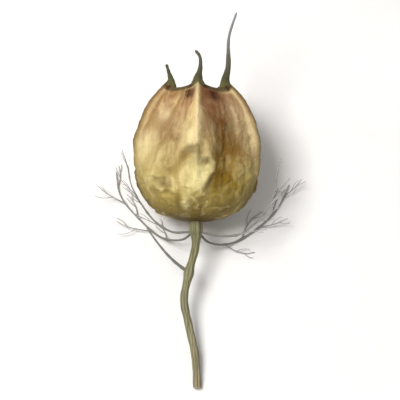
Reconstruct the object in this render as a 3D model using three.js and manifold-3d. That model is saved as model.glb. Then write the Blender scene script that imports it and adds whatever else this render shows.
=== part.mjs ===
// A nigella seed pod as picked: an inflated capsule of five fused carpels with its five styles, the ring of
// thread-like bracts under it and a short length of dry stem. It lies on its side on a flat surface.
// Millimetres, +Z up. The origin is on the flat spot under the capsule, and +Y runs from the stem to the styles.
import * as THREE from "three";
import { mergeVertices } from "three/addons/utils/BufferGeometryUtils.js";
import Module from "manifold-3d";

const wasm = await Module();
wasm.setup();

// Driving dimensions of the capsule
const CAPSULE_WIDTH = 23.2;
const BELLY_HEIGHT = 10.9; // from the base to the widest place
const BASE_FULLNESS = 2.2; // 2 would make the base an ellipse, more makes it fuller
const SHOULDER_REACH = 16.1; // half axis of the ellipse above the widest place
const NECK_START = 0.8; // share of that half axis where the straight neck begins
const RIM_HEIGHT = 23.7; // from the base to the rim between two styles
const MOUTH_DEPTH = 3.2; // from the rim down to the middle of the top
const CARPELS = 5;
const RIB_HEIGHT = 0.5;
const RIB_WIDTH = 0.85; // half width of a rib's rounded section
const PANEL_SINK = 0.18; // share of the radius by which the panels between the ribs fall in
const PANEL_START = 2; // height where the round base begins to turn five-sided
const PANEL_FULL = 15; // height where the panels are flat from rib to rib
const PANEL_ROUNDING = 0.4; // how much the edges between the panels are rounded off
const STALK_FLAT_RADIUS = 1.1; // the flat under the base where the stem joins
const REST_FLAT_DEPTH = 0.4; // how much of the belly is pressed flat where it lies

// Driving dimensions of the stem, the bracts and the leaf
const STEM_LENGTH = 30;
const STEM_RADIUS = 0.72;
const STEM_RIBS = 7;
const RECEPTACLE_RADIUS = 1.2; // the swollen top of the stem
const BRACT_RING_HEIGHT = -1.9; // where the bracts leave the stem, below the capsule's base
const LEAF_NODE_DEPTH = 9.6; // where the leaf sits on the stem, below the capsule's base
const BRACT_RADIUS = 0.42;
const THREAD_TIP_RADIUS = 0.24;
const LOBE_LENGTH = 6.6;
const FLOOR_CLEARANCE = 0.15;
const JOINT_GAP = 0.15; // between pieces that touch

const CAPSULE_RADIUS = CAPSULE_WIDTH / 2;
const rad = THREE.MathUtils.degToRad;
const { smoothstep, lerp } = THREE.MathUtils;
const vec = (x, y, z) => new THREE.Vector3(x, y, z);

// A closed three.js geometry as a solid for joining and cutting.
function solidOf(geometry) {
  const bare = geometry.index ? geometry.toNonIndexed() : geometry.clone();
  bare.deleteAttribute("normal");
  bare.deleteAttribute("uv");
  const merged = mergeVertices(bare, 1e-4);
  const triVerts = [];
  const index = merged.index.array;
  for (let i = 0; i < index.length; i += 3) {
    const [a, b, c] = [index[i], index[i + 1], index[i + 2]];
    if (a !== b && b !== c && c !== a) triVerts.push(a, b, c);
  }
  const vertProperties = new Float32Array(merged.attributes.position.array);
  return new wasm.Manifold(new wasm.Mesh({ numProp: 3, vertProperties, triVerts: new Uint32Array(triVerts) }));
}

// A solid as a three.js geometry.
function geometryOf(solid) {
  const mesh = solid.getMesh();
  return new THREE.BufferGeometry()
    .setAttribute("position", new THREE.BufferAttribute(new Float32Array(mesh.vertProperties), 3))
    .setIndex(new THREE.BufferAttribute(new Uint32Array(mesh.triVerts), 1));
}

// A closed tube along a smooth curve. radiusAt gives its radius at a share of its length and an angle round it.
function tube(points, radiusAt, sides, steps) {
  const curve = new THREE.CatmullRomCurve3(points, false, "centripetal");
  const { normals, binormals } = curve.computeFrenetFrames(steps);
  const geometry = new THREE.CylinderGeometry(1, 1, 1, sides, steps);
  const position = geometry.attributes.position;
  for (let i = 0; i < position.count; i++) {
    const [x, y, z] = [position.getX(i), position.getY(i), position.getZ(i)];
    const share = y + 0.5;
    const step = Math.round(share * steps);
    const radius = radiusAt(share, Math.atan2(x, z));
    const p = curve.getPointAt(share);
    p.addScaledVector(normals[step], x * radius);
    p.addScaledVector(binormals[step], -z * radius);
    position.setXYZ(i, p.x, p.y, p.z);
  }
  return solidOf(geometry);
}

const taper = (from, to) => (share) => lerp(from, to, share);

// The dents where the dry wall has fallen in: azimuth in degrees from the seen side, height, reach and depth.
const DENTS = [
  { azimuth: 30, height: 8.2, reach: 4.6, depth: 0.85 },
  { azimuth: -6, height: 11.4, reach: 1.9, depth: 0.4 },
  { azimuth: 11, height: 9.6, reach: 1.5, depth: 0.35 },
  { azimuth: -34, height: 6.0, reach: 2.2, depth: 0.45 },
  { azimuth: -46, height: 13.8, reach: 2.8, depth: 0.35 },
  { azimuth: 124, height: 9.5, reach: 4.0, depth: 0.7 },
  { azimuth: 222, height: 14.5, reach: 3.6, depth: 0.6 },
];

function dentAt(azimuth, height) {
  return DENTS.reduce((sum, dent) => {
    const turn = THREE.MathUtils.euclideanModulo(azimuth - rad(dent.azimuth) + Math.PI, 2 * Math.PI) - Math.PI;
    const away = Math.hypot(turn * CAPSULE_RADIUS, height - dent.height) / dent.reach;
    return sum + dent.depth * Math.exp(-away * away);
  }, 0);
}

// The outline of the capsule's ribs from base to rim: a full round base, an ellipse, then a straight neck.
function outlineRadius(height) {
  if (height <= BELLY_HEIGHT) {
    const down = 1 - height / BELLY_HEIGHT;
    return Math.max(STALK_FLAT_RADIUS, CAPSULE_RADIUS * (1 - down ** BASE_FULLNESS) ** (1 / BASE_FULLNESS));
  }
  const up = (height - BELLY_HEIGHT) / SHOULDER_REACH;
  if (up <= NECK_START) return CAPSULE_RADIUS * Math.sqrt(1 - up * up);
  const atStart = Math.sqrt(1 - NECK_START * NECK_START);
  return CAPSULE_RADIUS * (atStart - (NECK_START / atStart) * (up - NECK_START));
}

// How far an azimuth is from the nearest rib, as a share of the way to the middle of a panel.
function fromRib(azimuth) {
  const turns = (azimuth * CARPELS) / (2 * Math.PI);
  return 2 * Math.abs(turns - Math.round(turns));
}

// How far the skin falls in between two ribs, 0 at a rib and 1 in the middle of a flat panel.
function panelAt(azimuth) {
  const half = Math.PI / CARPELS;
  const near = fromRib(azimuth);
  const flat = (1 - Math.cos(half) / Math.cos(half * (1 - near))) / (1 - Math.cos(half));
  return lerp(flat, (1 - Math.cos(Math.PI * near)) / 2, PANEL_ROUNDING);
}

// The share of the radius by which the panel at an azimuth falls in. The one that the pod lies on stays round.
function sinkAt(azimuth) {
  return PANEL_SINK * (1 - smoothstep(-Math.cos(azimuth), 0.5, Math.cos(Math.PI / CARPELS)));
}

// The section of a rib across the skin, 1 at its crest.
function ribAt(azimuth, radius) {
  const across = (fromRib(azimuth) * Math.PI * Math.max(radius, RIB_WIDTH)) / CARPELS;
  return Math.exp(-((across / RIB_WIDTH) ** 2));
}

// The five styles: azimuth, how far the rim rises to it, its route from the rim as steps outward, up and sideways,
// and its radius at root and tip. The two at the back are broken off short.
const STYLES = [
  { azimuth: 0, rise: 1.5, route: [[0.1, 2.3, 0.4], [0.2, 4.1, 0.25], [0.3, 5.2, -0.6]], root: 1.05, tip: 0.32 },
  { azimuth: 72, rise: 2.1, route: [[0.5, 2.4, 0], [0.6, 8, 0], [2, 12.6, 0.1]], root: 1.05, tip: 0.28 },
  { azimuth: 144, rise: 0.8, route: [[0.25, 0.8, 0], [0.45, 1.4, 0.1]], root: 1, tip: 0.4 },
  { azimuth: 216, rise: 0.8, route: [[0.2, 0.6, 0], [0.35, 1.1, -0.1]], root: 1, tip: 0.42 },
  { azimuth: 288, rise: 2.1, route: [[0.4, 1.3, 0], [0.9, 2.8, 0]], root: 1.05, tip: 0.33 },
];
const STYLE_SINK = 1.6; // how far a style's root is sunk into the rim
const STYLE_INSET = 0.3; // how far its middle lies inside the rib's crest

// The rim hangs like a chain from style to style.
function rimRise(azimuth) {
  const nearest = Math.round((azimuth * CARPELS) / (2 * Math.PI)) % CARPELS;
  const sag = 3.2;
  return (STYLES[nearest].rise * (Math.cosh(sag * (1 - fromRib(azimuth))) - 1)) / (Math.cosh(sag) - 1);
}

// A point of the outer skin. Ribs stand up, panels fall in towards the rim, and dents press the wall in.
function skinPoint(rowHeight, azimuth) {
  const height = rowHeight + rimRise(azimuth) * (rowHeight / RIM_HEIGHT) ** 6;
  const sided = smoothstep(rowHeight, PANEL_START, PANEL_FULL);
  const lower = smoothstep(rowHeight, 0, BELLY_HEIGHT * 0.5);
  const outline = outlineRadius(height);
  let radius = outline * (1 - sinkAt(azimuth) * sided * panelAt(azimuth));
  radius += RIB_HEIGHT * ribAt(azimuth, outline) * lower * lerp(0.2, 1, sided);
  radius -= dentAt(azimuth, height) * lower;
  return vec(radius * Math.sin(azimuth), height, radius * Math.cos(azimuth));
}

// A point of the sunken top at a share of the way from its middle to the rim, with a ridge below each style.
function mouthPoint(share, azimuth) {
  const rim = skinPoint(RIM_HEIGHT, azimuth);
  const middle = RIM_HEIGHT - MOUTH_DEPTH;
  const ridge = RIB_HEIGHT * ribAt(azimuth, share * Math.hypot(rim.x, rim.z)) * (1 - share * share);
  return vec(rim.x * share, lerp(middle, rim.y, share * share) + ridge, rim.z * share);
}

// How far the skin underneath reaches below the axis at the belly, when the axis is tilted.
function reachBelow(tilt) {
  const rows = 120;
  let reach = 0;
  for (let i = 0; i <= rows; i++) {
    const p = skinPoint((BELLY_HEIGHT * i) / rows, Math.PI);
    reach = Math.max(reach, (BELLY_HEIGHT - p.y) * Math.sin(tilt) - p.z * Math.cos(tilt));
  }
  return reach;
}

// The pod leans on its belly and its stem's cut end, so the stem's length sets the tilt of its axis.
const bellyLift = (tilt) => reachBelow(tilt) - REST_FLAT_DEPTH;
let tilt = 0;
for (let i = 0; i < 8; i++) tilt = Math.asin((bellyLift(tilt) - STEM_RADIUS) / (BELLY_HEIGHT + STEM_LENGTH));

// The pod's own frame has its base at the origin, its axis along +Y and the side that is seen along +Z.
const pod = new THREE.Group();
pod.rotation.x = tilt;
pod.position.set(0, -BELLY_HEIGHT * Math.cos(tilt), bellyLift(tilt) - BELLY_HEIGHT * Math.sin(tilt));
pod.updateMatrixWorld(true);
const surface = new THREE.Plane(vec(0, 0, 1), 0).applyMatrix4(pod.matrixWorld.clone().invert());

// Raises a point of the pod's frame until it is clear of the surface that the pod lies on.
function aboveSurface(point, clearance) {
  const short = clearance - surface.distanceToPoint(point);
  return short > 0 ? point.clone().addScaledVector(surface.normal, short) : point;
}

// Everything below the surface, as one block in the pod's frame.
function surfaceBlock() {
  const size = 200;
  const block = new THREE.BoxGeometry(size, size, size);
  block.translate(0, 0, -size / 2);
  return solidOf(block.applyMatrix4(pod.matrixWorld.clone().invert()));
}

// A style, thick where it leaves the rim and thin for most of its length.
function styleSolid({ azimuth, route, root, tip }) {
  const turn = rad(azimuth);
  const outward = vec(Math.sin(turn), 0, Math.cos(turn));
  const sideways = vec(Math.cos(turn), 0, -Math.sin(turn));
  const foot = skinPoint(RIM_HEIGHT, turn).addScaledVector(outward, -STYLE_INSET);
  const points = [vec(0, -STYLE_SINK, 0).add(foot), foot];
  for (const [out, up, side] of route) {
    points.push(vec(0, up, 0).add(foot).addScaledVector(outward, out).addScaledVector(sideways, side));
  }
  return tube(points, (share) => lerp(tip, root, (1 - share) ** 2.2), 8, 12);
}

// The capsule: a turned outline whose points follow the skin and the sunken top, with the styles joined on and the
// belly pressed flat.
function capsuleGeometry() {
  const around = 80;
  const rows = 22;
  const mouthRows = 4;
  const profile = [{ radius: 0, height: 0 }];
  for (let i = 0; i <= rows; i++) {
    const share = i / rows;
    const height = RIM_HEIGHT * lerp(share, (1 - Math.cos(Math.PI * share)) / 2, 0.6);
    profile.push({ radius: outlineRadius(height), height });
  }
  const rimRadius = outlineRadius(RIM_HEIGHT);
  for (let i = 1; i <= mouthRows; i++) {
    const share = 1 - i / mouthRows;
    profile.push({ radius: rimRadius * share, height: RIM_HEIGHT - MOUTH_DEPTH * (1 - share * share), share });
  }
  const turned = new THREE.LatheGeometry(
    profile.map(({ radius, height }) => new THREE.Vector2(radius, height)),
    around,
  );
  const position = turned.attributes.position;
  for (let i = 0; i < position.count; i++) {
    const { radius, height, share } = profile[i % profile.length];
    const azimuth = (2 * Math.PI * (Math.floor(i / profile.length) % around)) / around;
    if (radius === 0) continue;
    const p = share === undefined ? skinPoint(height, azimuth) : mouthPoint(share, azimuth);
    position.setXYZ(i, p.x, p.y, p.z);
  }
  const whole = STYLES.map(styleSolid).reduce((joined, style) => joined.add(style), solidOf(turned));
  return geometryOf(whole.subtract(surfaceBlock()));
}

// The stem's route below the capsule's base, seen from above: a slow bend out and back to the cut end.
const STEM_ROUTE = [
  [0, 0],
  [0, -4.3],
  [-1.2, -9.5],
  [-1.95, -14.3],
  [-1.0, -19.1],
  [0.2, -24.5],
  [0.6, -STEM_LENGTH],
];

function stemRadius(share, angle) {
  const depth = share * STEM_LENGTH;
  const cup = 1 - smoothstep(depth, 1.2, 5);
  const ring = Math.exp(-(((depth + BRACT_RING_HEIGHT) / 0.8) ** 2));
  const node = Math.exp(-(((depth - LEAF_NODE_DEPTH) / 0.86) ** 2));
  const ribs = 1 + 0.07 * Math.cos(STEM_RIBS * angle);
  return (lerp(STEM_RADIUS, RECEPTACLE_RADIUS * 0.88, cup) + 0.16 * ring + 0.22 * node) * ribs;
}

function stemGeometry() {
  const points = STEM_ROUTE.map(([x, y]) => vec(x, y - JOINT_GAP, 0));
  return geometryOf(tube(points, stemRadius, STEM_RIBS * 2, 36).subtract(surfaceBlock()));
}

// The bracts' middle threads, in the pod's frame. Those beneath droop to the surface and spread along it.
const BRACTS = {
  bract_left: {
    route: [[-4.3, -2.0, 0.5], [-7.4, -0.2, 0.9], [-10.0, 3.0, 1.2], [-11.9, 6.6, 1.2], [-12.5, 10, 0.8]],
    lobes: 4,
  },
  bract_right: {
    route: [[4.4, -2.6, 0.3], [8.3, -2.1, 0.6], [11.3, 0.6, 1.0], [14.0, 4.7, 1.3], [14.5, 9.8, 1.0]],
    lobes: 5,
  },
  bract_under_left: {
    route: [[-2.6, -3.0, -3.4], [-6.5, -2.2, -7.2], [-10.8, 0.6, -12], [-14.2, 4.6, -14], [-15.2, 9.8, -14]],
    lobes: 5,
  },
  bract_under_right: {
    route: [[2.4, -3.4, -3.6], [6.4, -3.2, -7.0], [11.4, -1.2, -12], [15.2, 2.6, -14], [17.4, 7.6, -14]],
    lobes: 5,
  },
};

// A thread that leaves its parent at root, swings to one side and curls on along the parent's direction.
function lobePoints(root, forward, sideways, outward, length) {
  const reach = (ahead, aside, out) =>
    root
      .clone()
      .addScaledVector(forward, ahead * length)
      .addScaledVector(sideways, aside * length)
      .addScaledVector(outward, out * length);
  const points = [root, reach(0.3, 0.3, 0.04), reach(0.66, 0.52, 0.12), reach(1, 0.58, 0.2)];
  return points.map((p) => aboveSurface(p, THREAD_TIP_RADIUS + FLOOR_CLEARANCE));
}

function bractGeometry({ route, lobes }) {
  const leaving = vec(...route[0]).setY(0).normalize();
  const start = leaving.clone().multiplyScalar(RECEPTACLE_RADIUS + JOINT_GAP + 0.1).setY(BRACT_RING_HEIGHT);
  const points = [start, ...route.map((p) => aboveSurface(vec(...p), BRACT_RADIUS + FLOOR_CLEARANCE))];
  const curve = new THREE.CatmullRomCurve3(points, false, "centripetal");
  let solid = tube(points, taper(BRACT_RADIUS, THREAD_TIP_RADIUS), 6, 3 * points.length);
  for (let i = 0; i < lobes; i++) {
    const share = lerp(0.3, 0.88, i / (lobes - 1));
    const root = curve.getPointAt(share);
    const forward = curve.getTangentAt(share);
    const outward = vec(root.x, 0, root.z).normalize();
    const sideways = forward.clone().cross(outward).normalize().multiplyScalar(i % 2 ? 1 : -1);
    const length = LOBE_LENGTH * lerp(1, 0.55, share) * lerp(0.85, 1.15, (i * 0.618) % 1);
    const lobe = lobePoints(root, forward, sideways, outward, length);
    solid = solid.add(tube(lobe, taper(THREAD_TIP_RADIUS * 1.3, THREAD_TIP_RADIUS * 0.8), 5, 5));
  }
  return geometryOf(solid);
}

// The one thread-like leaf of the stem, from its node up and out beside the capsule.
const LEAF_ROUTE = [[-4.2, -7.0, 0.2], [-6.6, -4.4, 0.4], [-9.0, -1.2, 0.9]];

function leafGeometry() {
  const node = new THREE.CatmullRomCurve3(STEM_ROUTE.map(([x, y]) => vec(x, y, 0)), false, "centripetal");
  const root = node.getPointAt(LEAF_NODE_DEPTH / STEM_LENGTH);
  const first = vec(...LEAF_ROUTE[0]);
  const start = root.clone().addScaledVector(first.clone().sub(root).normalize(), STEM_RADIUS + 0.55);
  const points = [start, ...LEAF_ROUTE.map((p) => vec(...p))];
  return geometryOf(tube(points, taper(0.36, THREAD_TIP_RADIUS), 6, 10));
}

const straw = new THREE.MeshStandardMaterial({ color: "#b99a5b", roughness: 0.62, metalness: 0 });
const dryStem = new THREE.MeshStandardMaterial({ color: "#7d7850", roughness: 0.7, metalness: 0 });
const dryThread = new THREE.MeshStandardMaterial({ color: "#8a8460", roughness: 0.75, metalness: 0 });

function addPiece(name, geometry, material) {
  const mesh = new THREE.Mesh(geometry, material);
  mesh.name = name;
  pod.add(mesh);
}

addPiece("capsule", capsuleGeometry(), straw);
addPiece("stem", stemGeometry(), dryStem);
for (const [name, bract] of Object.entries(BRACTS)) addPiece(name, bractGeometry(bract), dryThread);
addPiece("stem_leaf", leafGeometry(), dryThread);

const nigella = new THREE.Group();
nigella.add(pod);
export default nigella;
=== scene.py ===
"""The looks of a dry nigella seed pod on a pale surface: papery capsule, ribbed stem and thread-like bracts.

Shapes are made in the pod's own frame, in millimetres: base of the capsule at the origin, axis along +Y, and
the side that is seen along +Z. The finishes read that frame too, and each piece is then laid where the pod lies.
"""
import math

import bpy
import numpy as np
from mathutils import Matrix, Vector, noise


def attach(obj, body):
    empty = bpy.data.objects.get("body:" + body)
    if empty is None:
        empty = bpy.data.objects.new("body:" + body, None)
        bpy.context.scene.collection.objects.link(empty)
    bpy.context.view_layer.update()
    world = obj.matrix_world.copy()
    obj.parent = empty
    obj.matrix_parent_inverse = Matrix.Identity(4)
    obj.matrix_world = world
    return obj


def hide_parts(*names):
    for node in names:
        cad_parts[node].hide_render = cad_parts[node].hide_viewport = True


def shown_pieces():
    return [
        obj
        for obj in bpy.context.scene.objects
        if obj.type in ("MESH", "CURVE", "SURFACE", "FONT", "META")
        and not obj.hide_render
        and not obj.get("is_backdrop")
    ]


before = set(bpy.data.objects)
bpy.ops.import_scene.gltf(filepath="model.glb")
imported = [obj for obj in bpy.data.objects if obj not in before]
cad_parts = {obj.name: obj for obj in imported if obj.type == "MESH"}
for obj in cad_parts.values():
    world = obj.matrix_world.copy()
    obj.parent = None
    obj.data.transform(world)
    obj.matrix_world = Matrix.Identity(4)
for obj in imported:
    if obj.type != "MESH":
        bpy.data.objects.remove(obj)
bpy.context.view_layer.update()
MM = 0.001

# Driving dimensions of the capsule, as its solid has them
CAPSULE_RADIUS = 11.6
BELLY_HEIGHT = 10.9
BASE_FULLNESS = 2.2
SHOULDER_REACH = 16.1
NECK_START = 0.8
RIM_HEIGHT = 23.7
MOUTH_DEPTH = 3.2
CARPELS = 5
RIB_HEIGHT = 0.5
RIB_WIDTH = 0.85
PANEL_SINK = 0.18
PANEL_START = 2
PANEL_FULL = 15
PANEL_ROUNDING = 0.4
STALK_FLAT_RADIUS = 1.1
REST_FLAT_DEPTH = 0.4
RIM_SAG = 3.2
LIP_THICKNESS = 0.34

# Driving dimensions of the stem, the bracts and the leaf
STEM_LENGTH = 30
STEM_RADIUS = 0.72
STEM_RIBS = 7
RECEPTACLE_RADIUS = 1.2
BRACT_RING_HEIGHT = -1.9
LEAF_NODE_DEPTH = 9.6
LOBE_LENGTH = 6.6
SURFACE_CLEARANCE = 0.3

# The five styles: azimuth, rise of the rim, route from the rim as steps outward, up and sideways, radii
STYLES = [
    dict(azimuth=0, rise=1.5, route=[(0.1, 2.3, 0.4), (0.2, 4.1, 0.25), (0.3, 5.2, -0.6)], root=1.05, tip=0.26),
    dict(azimuth=72, rise=2.1, route=[(0.5, 2.4, 0), (0.6, 8, 0), (2, 12.6, 0.1)], root=1.05, tip=0.2),
    dict(azimuth=144, rise=0.8, route=[(0.25, 0.8, 0), (0.45, 1.4, 0.1)], root=1, tip=0.36),
    dict(azimuth=216, rise=0.8, route=[(0.2, 0.6, 0), (0.35, 1.1, -0.1)], root=1, tip=0.38),
    dict(azimuth=288, rise=2.1, route=[(0.4, 1.3, 0), (0.9, 2.8, 0)], root=1.05, tip=0.27),
]
LONGEST_STYLE = max(style["route"][-1][1] for style in STYLES)
STYLE_SINK = 1.6
STYLE_INSET = 0.3
CREST_HEIGHT = 0.16
CREST_WIDTH = 0.42

# Dents of the dry wall: azimuth, height, reach, depth
DENTS = [
    (30, 8.2, 4.6, 0.85),
    (-6, 11.4, 1.9, 0.4),
    (11, 9.6, 1.5, 0.35),
    (-34, 6.0, 2.2, 0.45),
    (-46, 13.8, 2.8, 0.35),
    (124, 9.5, 4.0, 0.7),
    (222, 14.5, 3.6, 0.6),
]

# Bulges of the wall: azimuth, height, reach, height above the wall
BULGES = [
    (9, 8.4, 3.2, 0.6),
    (13, 11.2, 2.2, 0.4),
    (-62, 15.5, 2.6, 0.25),
    (-48, 8.0, 3.0, 0.3),
    (150, 13.0, 4.0, 0.3),
    (250, 8.0, 4.0, 0.3),
]

# Small pits with steep sides that the dents end in: azimuth, height, reach, depth
PITS = [
    (-14, 10.6, 0.8, 0.3),
    (-10, 11.3, 0.9, 0.4),
    (-4, 11.8, 0.9, 0.4),
    (2, 11.5, 0.8, 0.3),
    (10, 9.6, 0.9, 0.5),
    (-44, 6.9, 1.0, 0.25),
    (-36, 6.0, 0.9, 0.3),
    (-29, 5.6, 0.8, 0.2),
    (-33, 4.4, 0.8, 0.25),
    (-50, 4.4, 0.9, 0.25),
    (-24, 2.9, 0.8, 0.3),
    (118, 9.0, 1.4, 0.4),
    (164, 6.5, 1.2, 0.35),
    (228, 13.2, 1.4, 0.4),
    (252, 7.2, 1.2, 0.4),
]

# Where the wall is bleached, and where it is tanned: azimuth, height, reach, strength
PALE_SPOTS = [
    (7, 8.0, 2.3, 0.9),
    (-2, 6.0, 1.6, 0.6),
    (-4, 13.9, 1.5, 0.8),
    (-60, 12.0, 2.6, 0.7),
    (-44, 18.0, 2.0, 0.6),
    (-40, 10.0, 2.2, 0.5),
    (-14, 2.8, 1.1, 0.8),
    (-52, 7.0, 1.6, 0.5),
    (58, 8.4, 2.0, 0.4),
    (50, 20.0, 2.0, 0.5),
    (112, 15.0, 3.0, 0.5),
    (160, 8.0, 3.0, 0.6),
    (206, 16.0, 3.0, 0.5),
    (246, 10.0, 3.0, 0.6),
]
TAN_SPOTS = [
    (-20, 14.4, 1.7, 0.7),
    (-33, 16.8, 1.8, 0.4),
    (-26, 9.0, 1.8, 0.4),
    (-30, 12.4, 2.0, 0.4),
    (-46, 13.6, 1.4, 0.4),
    (-34, 8.2, 1.7, 0.6),
    (-40, 5.4, 1.5, 0.4),
    (-24, 3.2, 1.1, 0.6),
    (-22, 20.6, 1.5, 0.35),
    (-8, 22.6, 1.1, 0.5),
    (-12, 18.4, 2.0, 0.5),
    (-16, 21.0, 1.8, 0.4),
    (-40, 15.0, 2.0, 0.3),
    (24, 6.0, 2.2, 0.8),
    (32, 6.4, 2.0, 0.7),
    (44, 5.4, 3.0, 0.8),
    (54, 11.0, 3.2, 0.8),
    (128, 8.0, 3.0, 0.6),
    (182, 14.0, 3.0, 0.5),
    (228, 6.0, 3.0, 0.6),
    (262, 15.0, 2.4, 0.5),
]

# Folds of the dry wall: azimuth and height at both ends, rise, half width, and drop of the wall to its right
FOLDS = [
    ((3, 4.2), (18, 8.7), 0.1, 0.6, 0.6),
    ((0, 8.2), (0, 12.8), -0.38, 1.7, 0.0),
    ((17, 9.0), (10, 13.6), 0.05, 0.6, 0.25),
    ((-15, 11.9), (-7, 13.0), 0.24, 0.4, 0.0),
    ((-7, 13.0), (4, 12.3), 0.22, 0.4, 0.0),
    ((3, 10.8), (13, 10.3), 0.22, 0.38, 0.0),
    ((-54, 7.6), (-31, 7.2), 0.3, 0.45, 0.0),
    ((-46, 5.0), (-24, 4.3), 0.24, 0.4, 0.0),
    ((-36, 3.3), (-14, 2.5), 0.26, 0.4, 0.2),
    ((-60, 9.5), (-54, 20.0), 0.3, 1.1, 0.0),
    ((-42, 9.4), (-36, 18.6), 0.26, 0.8, 0.12),
    ((-18, 13.6), (-12, 20.0), 0.22, 0.9, 0.1),
    ((27, 12.5), (37, 20.5), 0.14, 0.6, 0.1),
    ((44, 5.2), (66, 8.0), 0.2, 0.5, 0.0),
    ((40, 9.4), (64, 11.6), 0.14, 0.45, 0.0),
    ((34, 3.4), (58, 4.8), 0.16, 0.4, 0.0),
    ((98, 12.0), (112, 18.5), 0.16, 0.6, 0.1),
    ((104, 5.0), (128, 6.6), 0.2, 0.45, 0.2),
    ((150, 6.0), (172, 8.0), 0.2, 0.5, 0.2),
    ((174, 12.0), (184, 19.0), 0.14, 0.55, 0.1),
    ((206, 5.6), (226, 4.4), 0.2, 0.45, 0.0),
    ((236, 7.0), (262, 9.5), 0.2, 0.5, 0.2),
    ((246, 12.0), (256, 19.5), 0.16, 0.6, 0.0),
    ((200, 15.0), (190, 20.0), 0.14, 0.6, 0.0),
]
STREAKS_AROUND = 7.0  # how closely the soft pleats that run from base to rim follow each other
SLANTED_PANEL = 4  # on this one they run across the panel
STREAK_SLANT = 0.09  # radians of turn for each millimetre of height
FOLD_SLUMP = 3.2  # how far the dropped wall beside a fold takes to rise again

# How strongly the panel that follows each style is flushed with mauve-brown: the pod's own colour, deepened as
# painted shade on the panel away from the light, with least on the lit panel before the front style
PANEL_FLUSH_AND_SHADE = [1.0, 0.9, 0.8, 0.9, 0.3]
MIRRORED_PANEL = 3  # this one is flushed from its other rib
# Where the flush of the first panel begins beside its rib, as a share of the panel's width, at some heights
FLUSH_AND_SHADE_HEIGHTS = [3, 5.7, 9.3, 14, 21]
FLUSH_AND_SHADE_BEGINS = [0.03, 0.12, 0.22, 0.04, 0.02]
# Where the flush is deepest, in the same way
CORE_HEIGHTS = [9, 13, 18, 22]
FLUSH_AND_SHADE_CORE = [0.3, 0.45, 0.33, 0.24]
# Painted shadow below the rim dips, as dark patches at these azimuths
SHADOW_PATCHES = [24, 104, 180, 254, 348]
SHADOW_PATCH_WIDTH = 1.2


def srgb(code):
    """A #rrggbb colour as the linear RGBA that shaders take."""
    parts = [int(code[i : i + 2], 16) / 255 for i in (1, 3, 5)]
    return (*[c / 12.92 if c <= 0.04045 else ((c + 0.055) / 1.055) ** 2.4 for c in parts], 1.0)


def smoothstep(x, low, high):
    t = np.clip((x - low) / (high - low), 0, 1)
    return t * t * (3 - 2 * t)


def lerp(a, b, t):
    return a + (b - a) * t


def noise_at(points, scale, seed=0.0):
    """Smooth noise of about -1 to 1 at points, whose axes are multiplied by scale first."""
    shift = Vector((seed * 17.3, seed * 5.1, seed * 11.9))
    return np.array([noise.noise(Vector(p) + shift) for p in np.asarray(points) * scale])


# Shape of the capsule's skin


def outline_radius(height):
    down = 1 - np.minimum(height, BELLY_HEIGHT) / BELLY_HEIGHT
    lower = np.maximum(STALK_FLAT_RADIUS, CAPSULE_RADIUS * (1 - down**BASE_FULLNESS) ** (1 / BASE_FULLNESS))
    up = np.maximum(height - BELLY_HEIGHT, 0) / SHOULDER_REACH
    at_start = math.sqrt(1 - NECK_START**2)
    shoulder = np.sqrt(1 - np.minimum(up, NECK_START) ** 2)
    neck = np.maximum(up - NECK_START, 0) * NECK_START / at_start
    return np.where(height <= BELLY_HEIGHT, lower, CAPSULE_RADIUS * (shoulder - neck))


def from_rib(azimuth):
    """How far an azimuth is from the nearest rib, as a share of the way to the middle of a panel."""
    turns = azimuth * CARPELS / (2 * np.pi)
    return 2 * np.abs(turns - np.round(turns))


def panel_at(azimuth):
    """How far the skin falls in between two ribs, 0 at a rib and 1 in the middle of a flat panel."""
    half = np.pi / CARPELS
    near = from_rib(azimuth)
    flat = (1 - math.cos(half) / np.cos(half * (1 - near))) / (1 - math.cos(half))
    return lerp(flat, (1 - np.cos(np.pi * near)) / 2, PANEL_ROUNDING)


def sink_at(azimuth):
    """The share of the radius by which a panel falls in. The one that the pod lies on stays round."""
    return PANEL_SINK * (1 - smoothstep(-np.cos(azimuth), 0.5, math.cos(np.pi / CARPELS)))


def rib_at(azimuth, radius, width=RIB_WIDTH):
    across = from_rib(azimuth) * np.pi * np.maximum(radius, RIB_WIDTH) / CARPELS
    return np.exp(-((across / width) ** 2))


def suture_at(azimuth, radius, offset, width):
    """A line beside each rib, on its flank away from the seen side, or towards it where offset is negative."""
    total = 0
    for style in STYLES[1:]:
        away = 1 if style["azimuth"] < 180 else -1
        across = turn_to(azimuth, style["azimuth"]) * radius * away
        total = total + np.exp(-(((across - offset) / width) ** 2))
    return total


def rim_rise(azimuth):
    nearest = np.round(azimuth * CARPELS / (2 * np.pi)).astype(int) % CARPELS
    rise = np.array([style["rise"] for style in STYLES])[nearest]
    return rise * (np.cosh(RIM_SAG * (1 - from_rib(azimuth))) - 1) / (math.cosh(RIM_SAG) - 1)


def turn_to(azimuth, degrees):
    """The signed turn from a direction to each azimuth, in radians."""
    return (azimuth - math.radians(degrees) + np.pi) % (2 * np.pi) - np.pi


def dent_at(azimuth, height, dents=DENTS):
    total = 0
    for degrees, dent_height, reach, depth in dents:
        away = np.hypot(turn_to(azimuth, degrees) * CAPSULE_RADIUS, height - dent_height) / reach
        total = total + depth * np.exp(-(away**2))
    return total


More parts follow.
